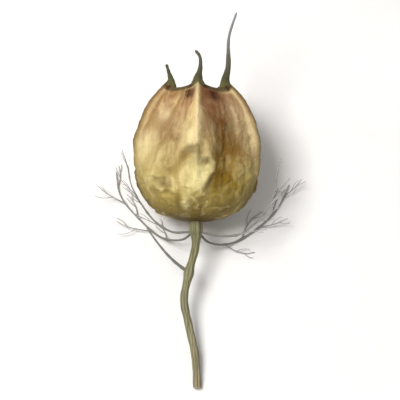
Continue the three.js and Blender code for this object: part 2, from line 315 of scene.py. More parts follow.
def fold_at(azimuth, height):
    """The raised creases, each a rounded ridge between two points of the skin with the wall slumped beside it."""
    total = 0
    for (az_a, h_a), (az_b, h_b), rise, width, drop in FOLDS:
        along_x = math.radians(az_b - az_a) * CAPSULE_RADIUS
        along_y = h_b - h_a
        x = turn_to(azimuth, az_a) * CAPSULE_RADIUS
        y = height - h_a
        share = np.clip((x * along_x + y * along_y) / (along_x**2 + along_y**2), 0, 1)
        away = np.hypot(x - share * along_x, y - share * along_y)
        ridge = np.exp(-((away / width) ** 2))
        right = smoothstep(x * along_y - y * along_x, 0, width)
        slump = drop * right * (1 - ridge) * np.exp(-away / FOLD_SLUMP)
        total = total + (rise * ridge - slump) * (0.3 + 0.7 * np.sin(np.pi * share))
    return total


def vein_at(azimuth, radius):
    """Fine veins that run up each panel beside its ribs, 1 on a vein."""
    spacing = np.pi * radius / CARPELS
    near = from_rib(azimuth)
    lines = [np.exp(-(((near - place) * spacing / 0.3) ** 2)) for place in (0.3, 0.52, 0.76, 1.0)]
    return np.clip(sum(lines), 0, 1)


def skin(row_height, azimuth):
    """Height and radius of the outer skin, without its fine relief."""
    height = row_height + rim_rise(azimuth) * (row_height / RIM_HEIGHT) ** 6
    sided = smoothstep(row_height, PANEL_START, PANEL_FULL)
    lower = smoothstep(row_height, 0, BELLY_HEIGHT * 0.5)
    outline = outline_radius(height)
    radius = outline * (1 - sink_at(azimuth) * sided * panel_at(azimuth))
    radius = radius + RIB_HEIGHT * rib_at(azimuth, outline) * lower * lerp(0.2, 1, sided)
    radius = radius - dent_at(azimuth, height) * lower
    return height, radius


def on_skin(row_height, azimuth):
    """One point of the outer skin."""
    height, radius = skin(np.array([float(row_height)]), np.array([float(azimuth)]))
    return np.array([radius[0] * math.sin(azimuth), height[0], radius[0] * math.cos(azimuth)])


def belly_lift(tilt):
    """How high the axis is at the belly above the surface, when it is tilted and the belly is pressed flat."""
    height, radius = skin(np.linspace(0, BELLY_HEIGHT, 121), np.full(121, np.pi))
    return np.max((BELLY_HEIGHT - height) * math.sin(tilt) + radius * math.cos(tilt)) - REST_FLAT_DEPTH


# The pod lies on its belly and its stem's cut end, so the stem's length sets the tilt of its axis
TILT = 0.0
for _ in range(8):
    TILT = math.asin((belly_lift(TILT) - STEM_RADIUS) / (BELLY_HEIGHT + STEM_LENGTH))
POD_BASE = Vector((0, -BELLY_HEIGHT * math.cos(TILT), belly_lift(TILT) - BELLY_HEIGHT * math.sin(TILT)))
POD = Matrix.Translation(POD_BASE * MM) @ Matrix.Rotation(TILT, 4, "X")
SURFACE_NORMAL = np.array([0, math.sin(TILT), math.cos(TILT)])


def above_surface(points, clearance):
    """Points of the pod's frame, raised where they are lower than clearance above the surface."""
    points = np.asarray(points, float)
    short = clearance - (points @ SURFACE_NORMAL + POD_BASE.z)
    return points + np.maximum(short, 0)[..., None] * SURFACE_NORMAL


# Meshes


class Shape:
    """Vertices, faces and named values per vertex, gathered part by part."""

    def __init__(self):
        self.points, self.faces, self.values, self.count = [], [], [], 0

    def add(self, points, faces, **values):
        self.points.append(points)
        self.faces.extend([tuple(int(i) + self.count for i in face) for face in faces])
        self.values.append((len(points), values))
        self.count += len(points)

    def piece(self, name, node, slot, material):
        """The gathered parts as one object that stands for a CAD node."""
        mesh = bpy.data.meshes.new(name)
        points = np.vstack(self.points)
        mesh.from_pydata(points * MM, [], self.faces)
        mesh.transform(POD)
        place = mesh.attributes.new("pod_place", "FLOAT_VECTOR", "POINT")
        place.data.foreach_set("vector", points.astype(np.float32).ravel())
        mesh.polygons.foreach_set("use_smooth", [True] * len(mesh.polygons))
        for key in sorted({key for _, values in self.values for key in values}):
            parts = [np.broadcast_to(values.get(key, 0.0), count) for count, values in self.values]
            layer = mesh.attributes.new(key, "FLOAT", "POINT")
            layer.data.foreach_set("value", np.concatenate(parts).astype(np.float32))
        mesh.materials.append(material)
        mesh.update()
        thing = bpy.data.objects.new(name, mesh)
        bpy.context.scene.collection.objects.link(thing)
        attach(thing, "root")
        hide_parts(node)
        return thing


def grid_faces(rows, columns):
    """Quads of a grid that closes round its columns, facing outwards for rows that climb."""
    faces = []
    for i in range(rows - 1):
        for j in range(columns):
            k = (j + 1) % columns
            faces.append((i * columns + j, i * columns + k, (i + 1) * columns + k, (i + 1) * columns + j))
    return faces


def cap_faces(first, columns, middle, climbing):
    """Triangles from one row of a grid to a middle vertex."""
    faces = []
    for j in range(columns):
        k = (j + 1) % columns
        a, b = (first + j, first + k) if climbing else (first + k, first + j)
        faces.append((a, b, middle))
    return faces


def smooth_curve(points, count):
    """Evenly spaced points on a centripetal curve through the given ones, with their directions."""
    p = np.asarray(points, float)
    p = np.vstack([2 * p[0] - p[1], p, 2 * p[-1] - p[-2]])
    dense = []
    for a, b, c, d in zip(p, p[1:], p[2:], p[3:]):
        knots = np.cumsum([0, *[np.linalg.norm(v) ** 0.5 for v in (b - a, c - b, d - c)]])
        t = np.linspace(knots[1], knots[2], 40, endpoint=False)[:, None]
        k0, k1, k2, k3 = knots
        ab = ((k1 - t) * a + (t - k0) * b) / (k1 - k0)
        bc = ((k2 - t) * b + (t - k1) * c) / (k2 - k1)
        cd = ((k3 - t) * c + (t - k2) * d) / (k3 - k2)
        abc = ((k2 - t) * ab + (t - k0) * bc) / (k2 - k0)
        bcd = ((k3 - t) * bc + (t - k1) * cd) / (k3 - k1)
        dense.append(((k2 - t) * abc + (t - k1) * bcd) / (k2 - k1))
    dense = np.vstack([*dense, p[-2]])
    run = np.concatenate([[0], np.cumsum(np.linalg.norm(np.diff(dense, axis=0), axis=1))])
    even = np.linspace(0, run[-1], count)
    curve = np.stack([np.interp(even, run, dense[:, k]) for k in range(3)], axis=1)
    ahead = np.gradient(curve, axis=0)
    return curve, ahead / np.linalg.norm(ahead, axis=1)[:, None]


def side_frames(ahead, side):
    """Two directions across a curve at each of its points, carried along it without twisting."""
    start = np.asarray(side) - ahead[0] * np.dot(side, ahead[0])
    across = [start / np.linalg.norm(start)]
    for direction in ahead[1:]:
        side = across[-1] - direction * np.dot(across[-1], direction)
        across.append(side / np.linalg.norm(side))
    across = np.array(across)
    return across, np.cross(ahead, across)


def tube(shape, points, radius_at, sides, steps, tip=0.0, side=(0.31, 0.22, 0.93), **values):
    """Adds a closed tube along a smooth curve. radius_at takes the share of its length and the angle round."""
    curve, ahead = smooth_curve(points, steps + 1)
    across, beside = side_frames(ahead, side)
    share, angle = np.meshgrid(np.linspace(0, 1, steps + 1), np.arange(sides) * 2 * np.pi / sides, indexing="ij")
    rounding = np.sqrt(np.clip((1 - share) / tip, 0, 1)) if tip else 1.0
    radius = (radius_at(share, angle) * rounding)[..., None]
    skin_points = curve[:, None] + radius * (
        np.cos(angle)[..., None] * across[:, None] + np.sin(angle)[..., None] * beside[:, None]
    )
    count = (steps + 1) * sides
    all_points = np.vstack([skin_points.reshape(-1, 3), curve[0], curve[-1]])
    faces = grid_faces(steps + 1, sides)
    faces += cap_faces(0, sides, count, False) + cap_faces(steps * sides, sides, count + 1, True)
    along = np.concatenate([share.ravel(), [0, 1]])
    shape.add(all_points, faces, along=along, **values)
    return curve, ahead


# Materials


class Shader:
    """A node material under construction, with short calls for the nodes that the finishes use."""

    def __init__(self, name):
        self.material = bpy.data.materials.new(name)
        self.material.use_nodes = True
        self.tree = self.material.node_tree
        self.surface = self.tree.nodes["Principled BSDF"]
        self.pod_place = self.attribute("pod_place").outputs["Vector"]

    def feed(self, socket, value):
        """Links an output to a socket, or sets the socket to a plain value."""
        if isinstance(value, bpy.types.NodeSocket):
            self.tree.links.new(value, socket)
        else:
            socket.default_value = value

    def set(self, node, **inputs):
        for key, value in inputs.items():
            self.feed(node.inputs[key.replace("_", " ")], value)
        return node

    def attribute(self, name):
        node = self.tree.nodes.new("ShaderNodeAttribute")
        node.attribute_name = name
        return node

    def value(self, name):
        return self.attribute(name).outputs["Fac"]

    def stretch(self, x, y, z):
        """Places in the pod's frame, in millimetres, multiplied along each axis."""
        node = self.tree.nodes.new("ShaderNodeMapping")
        self.set(node, Vector=self.pod_place, Scale=(x, y, z))
        return node.outputs["Vector"]

    def noise(self, place, scale=1.0, detail=4.0, roughness=0.55, distortion=0.0):
        node = self.tree.nodes.new("ShaderNodeTexNoise")
        self.set(node, Vector=place, Scale=scale, Detail=detail, Roughness=roughness, Distortion=distortion)
        return node.outputs["Fac"]

    def cells(self, place, scale=1.0):
        """Distance to the edges of irregular cells."""
        node = self.tree.nodes.new("ShaderNodeTexVoronoi")
        node.feature = "DISTANCE_TO_EDGE"
        self.set(node, Vector=place, Scale=scale)
        return node.outputs["Distance"]

    def math(self, operation, *values):
        node = self.tree.nodes.new("ShaderNodeMath")
        node.operation = operation
        for socket, value in zip(node.inputs, values):
            self.feed(socket, value)
        return node.outputs[0]

    def span(self, value, low, high, to_low=0.0, to_high=1.0):
        """A value mapped smoothly from one range to another and held at its ends."""
        node = self.tree.nodes.new("ShaderNodeMapRange")
        node.interpolation_type = "SMOOTHSTEP"
        for socket, number in zip(node.inputs, (value, low, high, to_low, to_high)):
            self.feed(socket, number)
        return node.outputs["Result"]

    def ramp(self, value, *stops):
        node = self.tree.nodes.new("ShaderNodeValToRGB")
        while len(node.color_ramp.elements) < len(stops):
            node.color_ramp.elements.new(0.5)
        for element, (place, code) in zip(node.color_ramp.elements, stops):
            element.position = place
            element.color = srgb(code)
        self.feed(node.inputs["Fac"], value)
        return node.outputs["Color"]

    def mix(self, share, a, b, blend="MIX"):
        node = self.tree.nodes.new("ShaderNodeMix")
        node.data_type = "RGBA"
        node.blend_type = blend
        colours = [srgb(c) if isinstance(c, str) else c for c in (a, b)]
        for number, value in zip((0, 6, 7), (share, *colours)):
            self.feed(node.inputs[number], value)
        return node.outputs[2]

    def tint(self, colour, name, share, to):
        """Mixes another colour in by a value per vertex, thinned by a second share."""
        return self.mix(self.math("MULTIPLY", self.value(name), share), colour, to)

    def bump(self, height, strength, distance, under=None):
        node = self.tree.nodes.new("ShaderNodeBump")
        self.set(node, Height=height, Strength=strength, Distance=distance * MM)
        if under:
            self.set(node, Normal=under)
        return node.outputs["Normal"]


def wall_colour(s, place, patch, mottle):
    """Straw, olive at the base with painted shade round the stalk, bleached and tanned in patches, with painted
    light and shade along the pleats, and mauve-brown panels below the rim, deepened as painted shade on the panel
    away from the light.
    """
    colour = s.ramp(
        place,
        # The darkest stop, at the base, is the pod's olive deepened as painted shade round the stalk
        (0.0, "#6d5a1e"),
        (0.12, "#a99655"),
        (0.26, "#c0b073"),
        (0.46, "#c5b180"),
        (0.66, "#c8b48a"),
        (0.82, "#b99570"),
        (0.95, "#a07856"),
    )
    colour = s.mix(s.span(patch, 0.5, 0.68, 0, 0.75), colour, "#e2cf98")
    colour = s.mix(s.span(patch, 0.5, 0.32, 0, 0.6), colour, "#9d8347")
    streak = s.value("streak")
    # Painted light on the raised pleats and painted shade in the troughs between them
    colour = s.mix(s.span(streak, 0.52, 0.8, 0, 0.6), colour, "#dcc78c")
    colour = s.mix(s.span(streak, 0.48, 0.2, 0, 0.65), colour, "#9a7d45")
    pale = s.ramp(place, (0.5, "#ecdfa4"), (0.85, "#e6d1b4"))
    colour = s.tint(colour, "pale", s.span(patch, 0.3, 0.6, 0.6, 1.0), pale)
    tan = s.ramp(place, (0.3, "#75611c"), (0.75, "#906349"))
    colour = s.tint(colour, "tan", s.span(patch, 0.35, 0.65, 1.0, 0.5), tan)
    # The mauve-brown flush is partly the pod's own colour and partly painted shade on the panel away from the
    # light
    flush = s.ramp(place, (0.2, "#8a6f18"), (0.42, "#7d5b18"), (0.62, "#6c4415"), (0.95, "#7d4f34"))
    colour = s.tint(colour, "flush", s.span(patch, 0.3, 0.66, 1.0, 0.75), flush)
    return s.tint(colour, "vein", s.span(mottle, 0.35, 0.65, 0.05, 0.25), "#8f7245")


def style_colour(s):
    """Dark olive at the foot of every style, paling to grey towards the tip of the longest."""
    return s.ramp(
        s.value("horn"),
        (0.0, "#5f5a38"),
        (0.14, "#4b4a36"),
        (0.4, "#5b5a4f"),
        (0.65, "#7d7b80"),
        (1.0, "#86848c"),
    )


def wall_relief(s, fibre, net):
    """Wrinkles, fibres and the fine grain of paper, as a bump."""
    wrinkle = s.noise(s.stretch(1.1, 2.2, 1.1), detail=5, roughness=0.62)
    wrinkle = s.math("MULTIPLY_ADD", net, 0.2, wrinkle)
    relief = s.bump(s.math("MULTIPLY_ADD", fibre, 0.5, wrinkle), 0.6, 0.25)
    paper = s.noise(s.stretch(5.0, 3.0, 5.0), detail=4, roughness=0.6, distortion=1.5)
    return s.bump(paper, 0.5, 0.12, under=relief)


def capsule_material():
    """The papery wall with its pale ribs, dark rim, painted shade in its pits, below the rim and along the rib
    flanks, specks, and the styles.
    """
    s = Shader("capsule_wall")
    mottle = s.noise(s.stretch(0.22, 0.16, 0.22), detail=5, roughness=0.6)
    patch = s.noise(s.stretch(0.45, 0.26, 0.45), detail=5, distortion=0.8)
    fibre = s.noise(s.stretch(2.6, 0.4, 2.6), detail=6, roughness=0.7)
    speck = s.noise(s.stretch(4.5, 4.5, 4.5), detail=2)
    net = s.span(s.cells(s.stretch(0.62, 0.3, 0.62)), 0.0, 0.08, 1.0, 0.0)
    place = s.math("ADD", s.value("height"), s.math("MULTIPLY_ADD", mottle, 0.3, -0.15))
    colour = wall_colour(s, place, patch, mottle)
    colour = s.mix(s.math("MULTIPLY", net, 0.06), colour, "#8c6b40")
    colour = s.tint(colour, "rib", s.span(fibre, 0.3, 0.6, 0.7, 0.95), "#e0c89c")
    colour = s.mix(s.value("lip"), colour, "#4d482f")
    # Painted shadow below the rim dips, in the rim's corners and between the ridges of the sunken top
    colour = s.tint(colour, "shade", s.span(fibre, 0.3, 0.7, 1.0, 0.75), "#43200f")
    # Painted shade in the pits, on the rib flanks away from the seen side and round the stalk
    colour = s.tint(colour, "stain", s.span(patch, 0.3, 0.6, 0.6, 1.0), "#58451d")
    colour = s.mix(s.span(speck, 0.68, 0.78, 0, 0.35), colour, "#7d5c34")
    colour = s.mix(s.span(fibre, 0.35, 0.7, 0.16, 0.0), colour, "#a08250", blend="MULTIPLY")
    s.set(
        s.surface,
        Base_Color=s.mix(s.value("style"), colour, style_colour(s)),
        Roughness=s.span(mottle, 0.3, 0.7, 0.48, 0.66),
        Normal=wall_relief(s, fibre, net),
        Specular_IOR_Level=0.08,
    )
    return s.material


def stem_material():
    """Dry olive stalk with lengthwise streaks and painted shade in its grooves, browner towards the pale cut end.
    """
    s = Shader("stem")
    streak = s.noise(s.stretch(3.5, 0.12, 3.5), detail=5, roughness=0.65)
    patch = s.noise(s.stretch(0.4, 0.22, 0.4), detail=4)
    place = s.math("ADD", s.value("along"), s.math("MULTIPLY_ADD", patch, 0.5, -0.25))
    colour = s.ramp(place, (0.0, "#7a7857"), (0.35, "#817f61"), (0.7, "#8a846a"), (1.0, "#90846a"))
    colour = s.mix(s.span(streak, 0.42, 0.66, 0, 0.7), colour, "#525138")
    colour = s.mix(s.span(streak, 0.5, 0.3, 0, 0.45), colour, "#b5a877")
    # Painted shade in the grooves between the stem's ribs
    colour = s.mix(s.value("groove"), colour, "#4a4629")
    colour = s.mix(s.value("cut"), colour, "#cbbd92")
    s.set(
        s.surface,
        Base_Color=colour,
        Roughness=s.span(patch, 0.3, 0.7, 0.55, 0.72),
        Normal=s.bump(streak, 0.5, 0.15),
        Specular_IOR_Level=0.3,
    )
    return s.material


def thread_material():
    """Dry olive-grey threads that pale towards their tips."""
    s = Shader("bract")
    grain = s.noise(s.stretch(2.4, 2.4, 2.4), detail=4)
    age = s.math("MULTIPLY_ADD", s.value("along"), 0.35, s.value("age"))
    place = s.math("ADD", age, s.math("MULTIPLY_ADD", grain, 0.5, -0.25))
    colour = s.ramp(place, (0.05, "#62635a"), (0.4, "#807f7c"), (0.75, "#a19fa0"), (1.0, "#b0adae"))
    s.set(
        s.surface,
        Base_Color=colour,
        Roughness=s.span(grain, 0.3, 0.7, 0.55, 0.75),
        Normal=s.bump(grain, 0.4, 0.08),
        Specular_IOR_Level=0.3,
    )
    return s.material


# The capsule


AROUND, SKIN_ROWS, LIP_ROWS, MOUTH_ROWS = 360, 190, 5, 24
WANDER = 0.5  # how far noise shifts folds, pits and spots
STREAK_HEIGHT = 0.16
VEIN_HEIGHT = 0.05
PLEAT_HEIGHT = 0.05
LIP_TINT = 0.85
FLOOR_GAP = 0.02
# What the finish reads in the middle of the base and of the sunken top, where it isn't 0; the top's shade is
# painted shade
BASE_VALUES = dict(streak=0.5)
TOP_VALUES = dict(height=1, rib=1, flush=0.5, shade=0.3, streak=0.5)


def panel_of(azimuth):
    """The number of the panel at an azimuth, which is that of the style before it."""
    return np.floor(azimuth * CARPELS / (2 * np.pi)).astype(int) % CARPELS


def wander_of(turn, height):
    """Azimuths and heights shifted by a little noise."""
    flat = np.stack([turn * CAPSULE_RADIUS, height, 0 * turn], axis=-1).reshape(-1, 3)
    wander_turn = turn + WANDER * noise_at(flat, 0.45, 4).reshape(turn.shape) / CAPSULE_RADIUS
    return wander_turn, height + WANDER * noise_at(flat, 0.45, 5).reshape(turn.shape)


def streak_at(turn, height):
    """Soft pleats of about -1 to 1 that run from base to rim, and across the slanted panel."""
    slant = np.where(panel_of(turn) == SLANTED_PANEL, 1 - np.cos(np.pi * from_rib(turn)), 0) / 2
    lean = turn - STREAK_SLANT * slant * (height - BELLY_HEIGHT)
    along_rib = np.stack([np.sin(lean), 0.016 * height, np.cos(lean)], axis=-1).reshape(-1, 3)
    return noise_at(along_rib, STREAKS_AROUND, 6).reshape(turn.shape)


def pale_rib_at(turn, radius, row_height, high):
    """The bleached front rib, and a bleached line beside each of the others."""
    front = np.exp(-((turn_to(turn, 0) * radius / lerp(0.7, 0.36, high)) ** 2))
    beside = suture_at(turn, radius, -1.0, 0.4) * np.where(turn < np.pi, 1, 0.5)
    return (front + beside) * smoothstep(row_height, 8.5, 16.5)


def painted_edge_shade_at(turn, radius, row_height, height):
    """Painted shade on the flank of each rib away from the seen side, towards the silhouette, and painted shade
    round the stalk.
    """
    climb = smoothstep(row_height, 3, 14)
    flank_shade = suture_at(turn, radius, lerp(2.0, 0.1, climb), lerp(3.6, 0.7, climb))
    return np.clip(flank_shade * smoothstep(row_height, 0.5, 4) + smoothstep(height, 1.1, 0.1), 0, 1)


def flush_and_shade_at(turn, row_height, wander_turn, wander_height):
    """How strongly the wall is flushed with mauve-brown: partly the pod's own colour, partly painted shade."""
    panel = panel_of(turn)
    across = (turn * CARPELS / (2 * np.pi)) % 1 + 0.6 * (wander_turn - turn)
    across = np.where(panel == MIRRORED_PANEL, 1 - across, across)
    begin = np.where(panel == 0, np.interp(wander_height, FLUSH_AND_SHADE_HEIGHTS, FLUSH_AND_SHADE_BEGINS), 0)
    core = np.exp(-(((across - np.interp(wander_height, CORE_HEIGHTS, FLUSH_AND_SHADE_CORE)) / 0.2) ** 2))
    fade = lerp(0.6, 0.5, smoothstep(row_height, 14, 20))
    flush = smoothstep(across, begin, begin + 0.08) * (1 - smoothstep(across, fade, fade + 0.36))
    return flush * lerp(0.62, 1, core) * np.array(PANEL_FLUSH_AND_SHADE)[panel] * smoothstep(row_height, 1, 8)


def rim_corner_shadow(azimuth):
    """Painted shadow in the corners of the rim, to both sides of each style."""
    return np.exp(-(((from_rib(azimuth) - 0.32) / 0.13) ** 2))


def shade_at(turn, radius, row_height):
    """Painted shadow below the rim dips and in the rim's corners."""
    shadow_patch = sum(np.exp(-((turn_to(turn, degrees) * radius / SHADOW_PATCH_WIDTH) ** 2)) for degrees in SHADOW_PATCHES)
    shade = shadow_patch * smoothstep(row_height, 20.5, 21.8) * (1 - smoothstep(row_height, 22.7, 23.2))
    return np.clip(shade + rim_corner_shadow(turn) * smoothstep(row_height, 22.9, 23.3), 0, 1)


def skin_rows(azimuth):
    """The outer skin from base to rim, with what the finish reads."""
    share = np.linspace(0, 1, SKIN_ROWS + 1)
    climb = RIM_HEIGHT * lerp(share, (1 - np.cos(np.pi * share)) / 2, 0.6)
    row_height, turn = np.meshgrid(climb, azimuth, indexing="ij")
    height, radius = skin(row_height, turn)
    lower = smoothstep(row_height, 0, BELLY_HEIGHT * 0.4)
    high = smoothstep(row_height, BELLY_HEIGHT * 0.5, RIM_HEIGHT)
    wander = wander_of(turn, height)
    rib = pale_rib_at(turn, radius, row_height, high)
    edge_shade = painted_edge_shade_at(turn, radius, row_height, height)
    vein = vein_at(turn, radius) * lower * (1 - smoothstep(row_height, 19, 23))
    streak = streak_at(turn, height) * smoothstep(row_height, 2, 11)
    fold = fold_at(*wander) + STREAK_HEIGHT * streak * (1 - rib)
    pit = dent_at(*wander, PITS)
    bulge = dent_at(*wander, BULGES)
    crest = rib_at(turn, radius, CREST_WIDTH) * high
    radius = radius + (fold + bulge - pit) * lower + VEIN_HEIGHT * vein * (1 - rib) + CREST_HEIGHT * crest
    edge = smoothstep(row_height, RIM_HEIGHT - 0.85, RIM_HEIGHT - 0.35)
    # Painted shade: deep in the pits but not on the raised folds, plus the painted shade of the rib flanks and
    # stalk
    stain = np.clip(pit * 2.4 - fold, 0, 1) * (1 - high) + 0.9 * edge_shade
    return dict(
        radius=radius,
        height=height,
        rib=rib * (1 - edge),
        vein=vein,
        flush=flush_and_shade_at(turn, row_height, *wander),
        shade=shade_at(turn, radius, row_height),
        stain=0.9 * np.clip(stain, 0, 1),
        lip=edge * LIP_TINT,
        pale=np.clip(dent_at(*wander, PALE_SPOTS), 0, 1),
        tan=np.clip(dent_at(*wander, TAN_SPOTS), 0, 1),
        streak=streak,
    )


def lip_rows(azimuth, rim_radius, rim_height):
    """The rounded lip, from the skin's last row to the sunken top."""
    bend = np.linspace(0, np.pi, LIP_ROWS + 1)[1:, None]
    half = LIP_THICKNESS / 2
    radius = rim_radius - half + half * np.cos(bend)
    height = rim_height + half * np.sin(bend)
    # The lip carries the painted shadow of the rim's corners
    return dict(radius=radius, height=height, shade=rim_corner_shadow(azimuth) + 0 * radius, lip=LIP_TINT + 0 * radius)


def mouth_rows(azimuth, rim_radius, rim_height):
    """The sunken top, with its star of ridges, its pleats and painted shade between the ridges."""
    inward = np.linspace(1, 0, MOUTH_ROWS + 1)[1:-1, None]
    radius = (rim_radius - LIP_THICKNESS) * inward
    ridge = rib_at(azimuth, radius, RIB_WIDTH * 0.7) * (1 - inward**2)
    height = lerp(RIM_HEIGHT - MOUTH_DEPTH, rim_height, inward**2) + RIB_HEIGHT * ridge
    pleat = 0.5 + 0.5 * np.cos(6 * np.pi * from_rib(azimuth)) + 0 * radius
    # The shade here is painted shade in the hollow between the ridges
    return dict(
        radius=radius,
        height=height + PLEAT_HEIGHT * pleat * inward,
        rib=ridge,
        vein=0.5 * pleat * (1 - ridge),
        flush=0.5 + 0 * radius,
        shade=0.3 * (1 - ridge) * smoothstep(inward, 1.0, 0.55),
    )


def capsule_grid():
    """The capsule's whole grid: outer skin, rounded lip and sunken top, row by row."""
    azimuth = np.arange(AROUND) * 2 * np.pi / AROUND
    outer = skin_rows(azimuth)
    rim = outer["radius"][-1], outer["height"][-1]
    parts = [outer, lip_rows(azimuth, *rim), mouth_rows(azimuth, *rim)]
    return azimuth, {key: np.vstack([part.get(key, 0 * part["radius"]) for part in parts]) for key in outer}


def crumple_at(points, cell):
    """Facets of crumpled paper: cells of a given size, each leaning its own way, with creases between them."""
    values = []
    for point in points / cell:
        place = Vector(point)
        distances, centres = noise.voronoi(place)
        centre = centres[0]
        lean = Vector((math.sin(37 * centre.x), math.sin(53 * centre.y + 1), math.sin(71 * centre.z + 2)))
        values.append(min(1, 3 * (distances[1] - distances[0])) * lean.dot(place - centre))
    return np.array(values)


def relief_at(points):
    """Lumps, facets and fine crinkles of the dry wall, in millimetres along the skin's outward direction."""
    lumps = noise_at(points, (0.3, 0.22, 0.3), 1)
    crinkle = 1 - np.abs(noise_at(points, (0.42, 0.95, 0.42), 2)) * 2.2
    facets = crumple_at(points * (1, 0.75, 1), 3.4)
    small = crumple_at(points * (1, 1.3, 1), 1.5)
    calm = lerp(0.45, 1, smoothstep(points[:, 1], 21, 11))
    return 0.1 * lumps + (0.08 * crinkle + 0.5 * facets + 0.2 * small) * calm


def build_capsule(material):
    """The wall with its relief, pressed flat where it rests, and the styles."""
    azimuth, grid = capsule_grid()
    radius, height = grid.pop("radius"), grid["height"]
    points = np.stack([radius * np.sin(azimuth), height, radius * np.cos(azimuth)], axis=-1).reshape(-1, 3)
    outward = points - np.array([0, BELLY_HEIGHT, 0])
    outward /= np.linalg.norm(outward, axis=1)[:, None]
    still = smoothstep(height, 0, 2.5) * (1 - grid["lip"])
    points = above_surface(points + outward * (relief_at(points) * still.ravel())[:, None], FLOOR_GAP)
    rows, around = radius.shape
    count = rows * around
    faces = grid_faces(rows, around)
    faces += cap_faces(0, around, count, False) + cap_faces((rows - 1) * around, around, count + 1, True)
    grid["height"] = height / RIM_HEIGHT
    grid["streak"] = 0.5 + 0.5 * grid["streak"]
    values = {
        key: np.concatenate([part.ravel(), [BASE_VALUES.get(key, 0), TOP_VALUES.get(key, 0)]])
        for key, part in grid.items()
    }
    shape = Shape()
    shape.add(np.vstack([points, [0, 0, 0], [0, RIM_HEIGHT - MOUTH_DEPTH, 0]]), faces, **values)
    for number, style in enumerate(STYLES):
        add_style(shape, number, **style)
    return shape.piece("pod_capsule", "capsule", "capsule_wall", material)


def add_style(shape, number, azimuth, route, root, tip, **_):
    """A horn-like style that grows out of the rib's end: thick and ridged at its foot, thin and wavy above."""
    turn = math.radians(azimuth)
    outward = np.array([math.sin(turn), 0, math.cos(turn)])
    sideways = np.array([math.cos(turn), 0, -math.sin(turn)])
    foot = on_skin(RIM_HEIGHT, turn) - STYLE_INSET * outward
    points = [foot - [0, STYLE_SINK, 0], foot]
    points += [foot + out * outward + [0, up, 0] + side * sideways for out, up, side in route]
    sunk = STYLE_SINK / (STYLE_SINK + route[-1][1])

    def radius_at(share, angle):
        ridges = 1 + 0.08 * np.cos(4 * angle + number) * (1 - share)
        lumps = 1 + 0.07 * np.sin(23 * share + 2 * number) * np.sin(9 * share + number)
        spread = 1 + (1 - smoothstep(share, sunk * 0.5, sunk * 2)) * (0.3 + 0.3 * np.cos(angle) ** 2)
        return lerp(tip, root * 0.8, (1 - share) ** 2.2) * ridges * lumps * spread

    steps = 60
    sides = 20
    along = np.concatenate([np.repeat(np.linspace(0, 1, steps + 1), sides), [0, 1]])
    horn = along * route[-1][1] / LONGEST_STYLE
    tube(shape, points, radius_at, sides, steps, tip=0.04, side=sideways, horn=horn, style=1.0, height=1.0)


# The stem

STEM_ROUTE = [
    (0, 0.4),
    (0, -4.3),
    (-1.2, -9.5),
    (-1.95, -14.3),
    (-1.0, -19.1),
    (0.2, -24.5),
    (0.6, -STEM_LENGTH),
]


def build_stem(material):
    """The ribbed stalk, with its swollen top, the node of its leaf and a slightly ragged cut end."""

    def radius_at(share, angle):
        depth = share * STEM_LENGTH
        cup = 1 - smoothstep(depth, 1.2, 5)
        ring = np.exp(-(((depth + BRACT_RING_HEIGHT) / 0.8) ** 2))
        node = np.exp(-(((depth - LEAF_NODE_DEPTH) / 0.86) ** 2))
        ribs = 1 + 0.08 * np.cos(STEM_RIBS * angle + 3 * share) + 0.025 * np.sin(31 * share + 3 * angle)
        drying = 1 + 0.05 * np.sin(57 * share) * np.sin(17 * share + 1)
        body = lerp(STEM_RADIUS * 0.96, RECEPTACLE_RADIUS * 0.88, cup)
        return (body + 0.16 * ring + 0.22 * node) * ribs * drying

    shape = Shape()
    steps = 260
    sides = 42
    points = [(x, y, 0) for x, y in STEM_ROUTE]
    share, angle = np.meshgrid(np.linspace(0, 1, steps + 1), np.arange(sides) * 2 * np.pi / sides, indexing="ij")
    # How deep in a groove between the ribs each vertex lies, which the finish darkens as painted shade
    groove = smoothstep(-np.cos(STEM_RIBS * angle + 3 * share), 0.4, 1) * 0.55
    tube(
        shape,
        points,
        radius_at,
        sides,
        steps,
        groove=np.concatenate([groove.ravel(), [0, 0]]),
        cut=np.concatenate([smoothstep(share, 0.9965, 1).ravel(), [0, 1]]),
    )
    shape.points = [above_surface(np.vstack(shape.points), FLOOR_GAP)]
    return shape.piece("pod_stem", "stem", "stem", material)


# The bracts and the leaf

BRACTS = {
    "bract_left": dict(
        route=[(-4.3, -2.0, 0.5), (-7.4, -0.2, 0.9), (-10.0, 3.0, 1.2), (-11.9, 6.6, 1.2), (-12.5, 10, 0.8)],
        lobes=4,
    ),
    "bract_right": dict(
        route=[(4.4, -2.6, 0.3), (8.3, -2.1, 0.6), (11.3, 0.6, 1.0), (14.0, 4.7, 1.3), (14.5, 9.8, 1.0)],
        lobes=5,
    ),
    "bract_under_left": dict(
        route=[(-2.6, -3.0, -3.4), (-6.5, -2.2, -7.2), (-10.8, 0.6, -12), (-14.2, 4.6, -14), (-15.2, 9.8, -14)],
        lobes=5,
    ),
    "bract_under_right": dict(
        route=[(2.4, -3.4, -3.6), (6.4, -3.2, -7.0), (11.4, -1.2, -12), (15.2, 2.6, -14), (17.4, 7.6, -14)],
        lobes=5,
    ),
}
LEAF_ROUTE = [(-4.2, -7.0, 0.2), (-6.6, -4.4, 0.4), (-9.0, -1.2, 0.9)]
BRACT_RADIUS = (0.23, 0.1)
LOBE_RADIUS = (0.12, 0.07)
FORK_RADIUS = (0.08, 0.055)
LEAF_RADIUS = (0.34, 0.14)
FORK_PLACES = (0.42, 0.66)


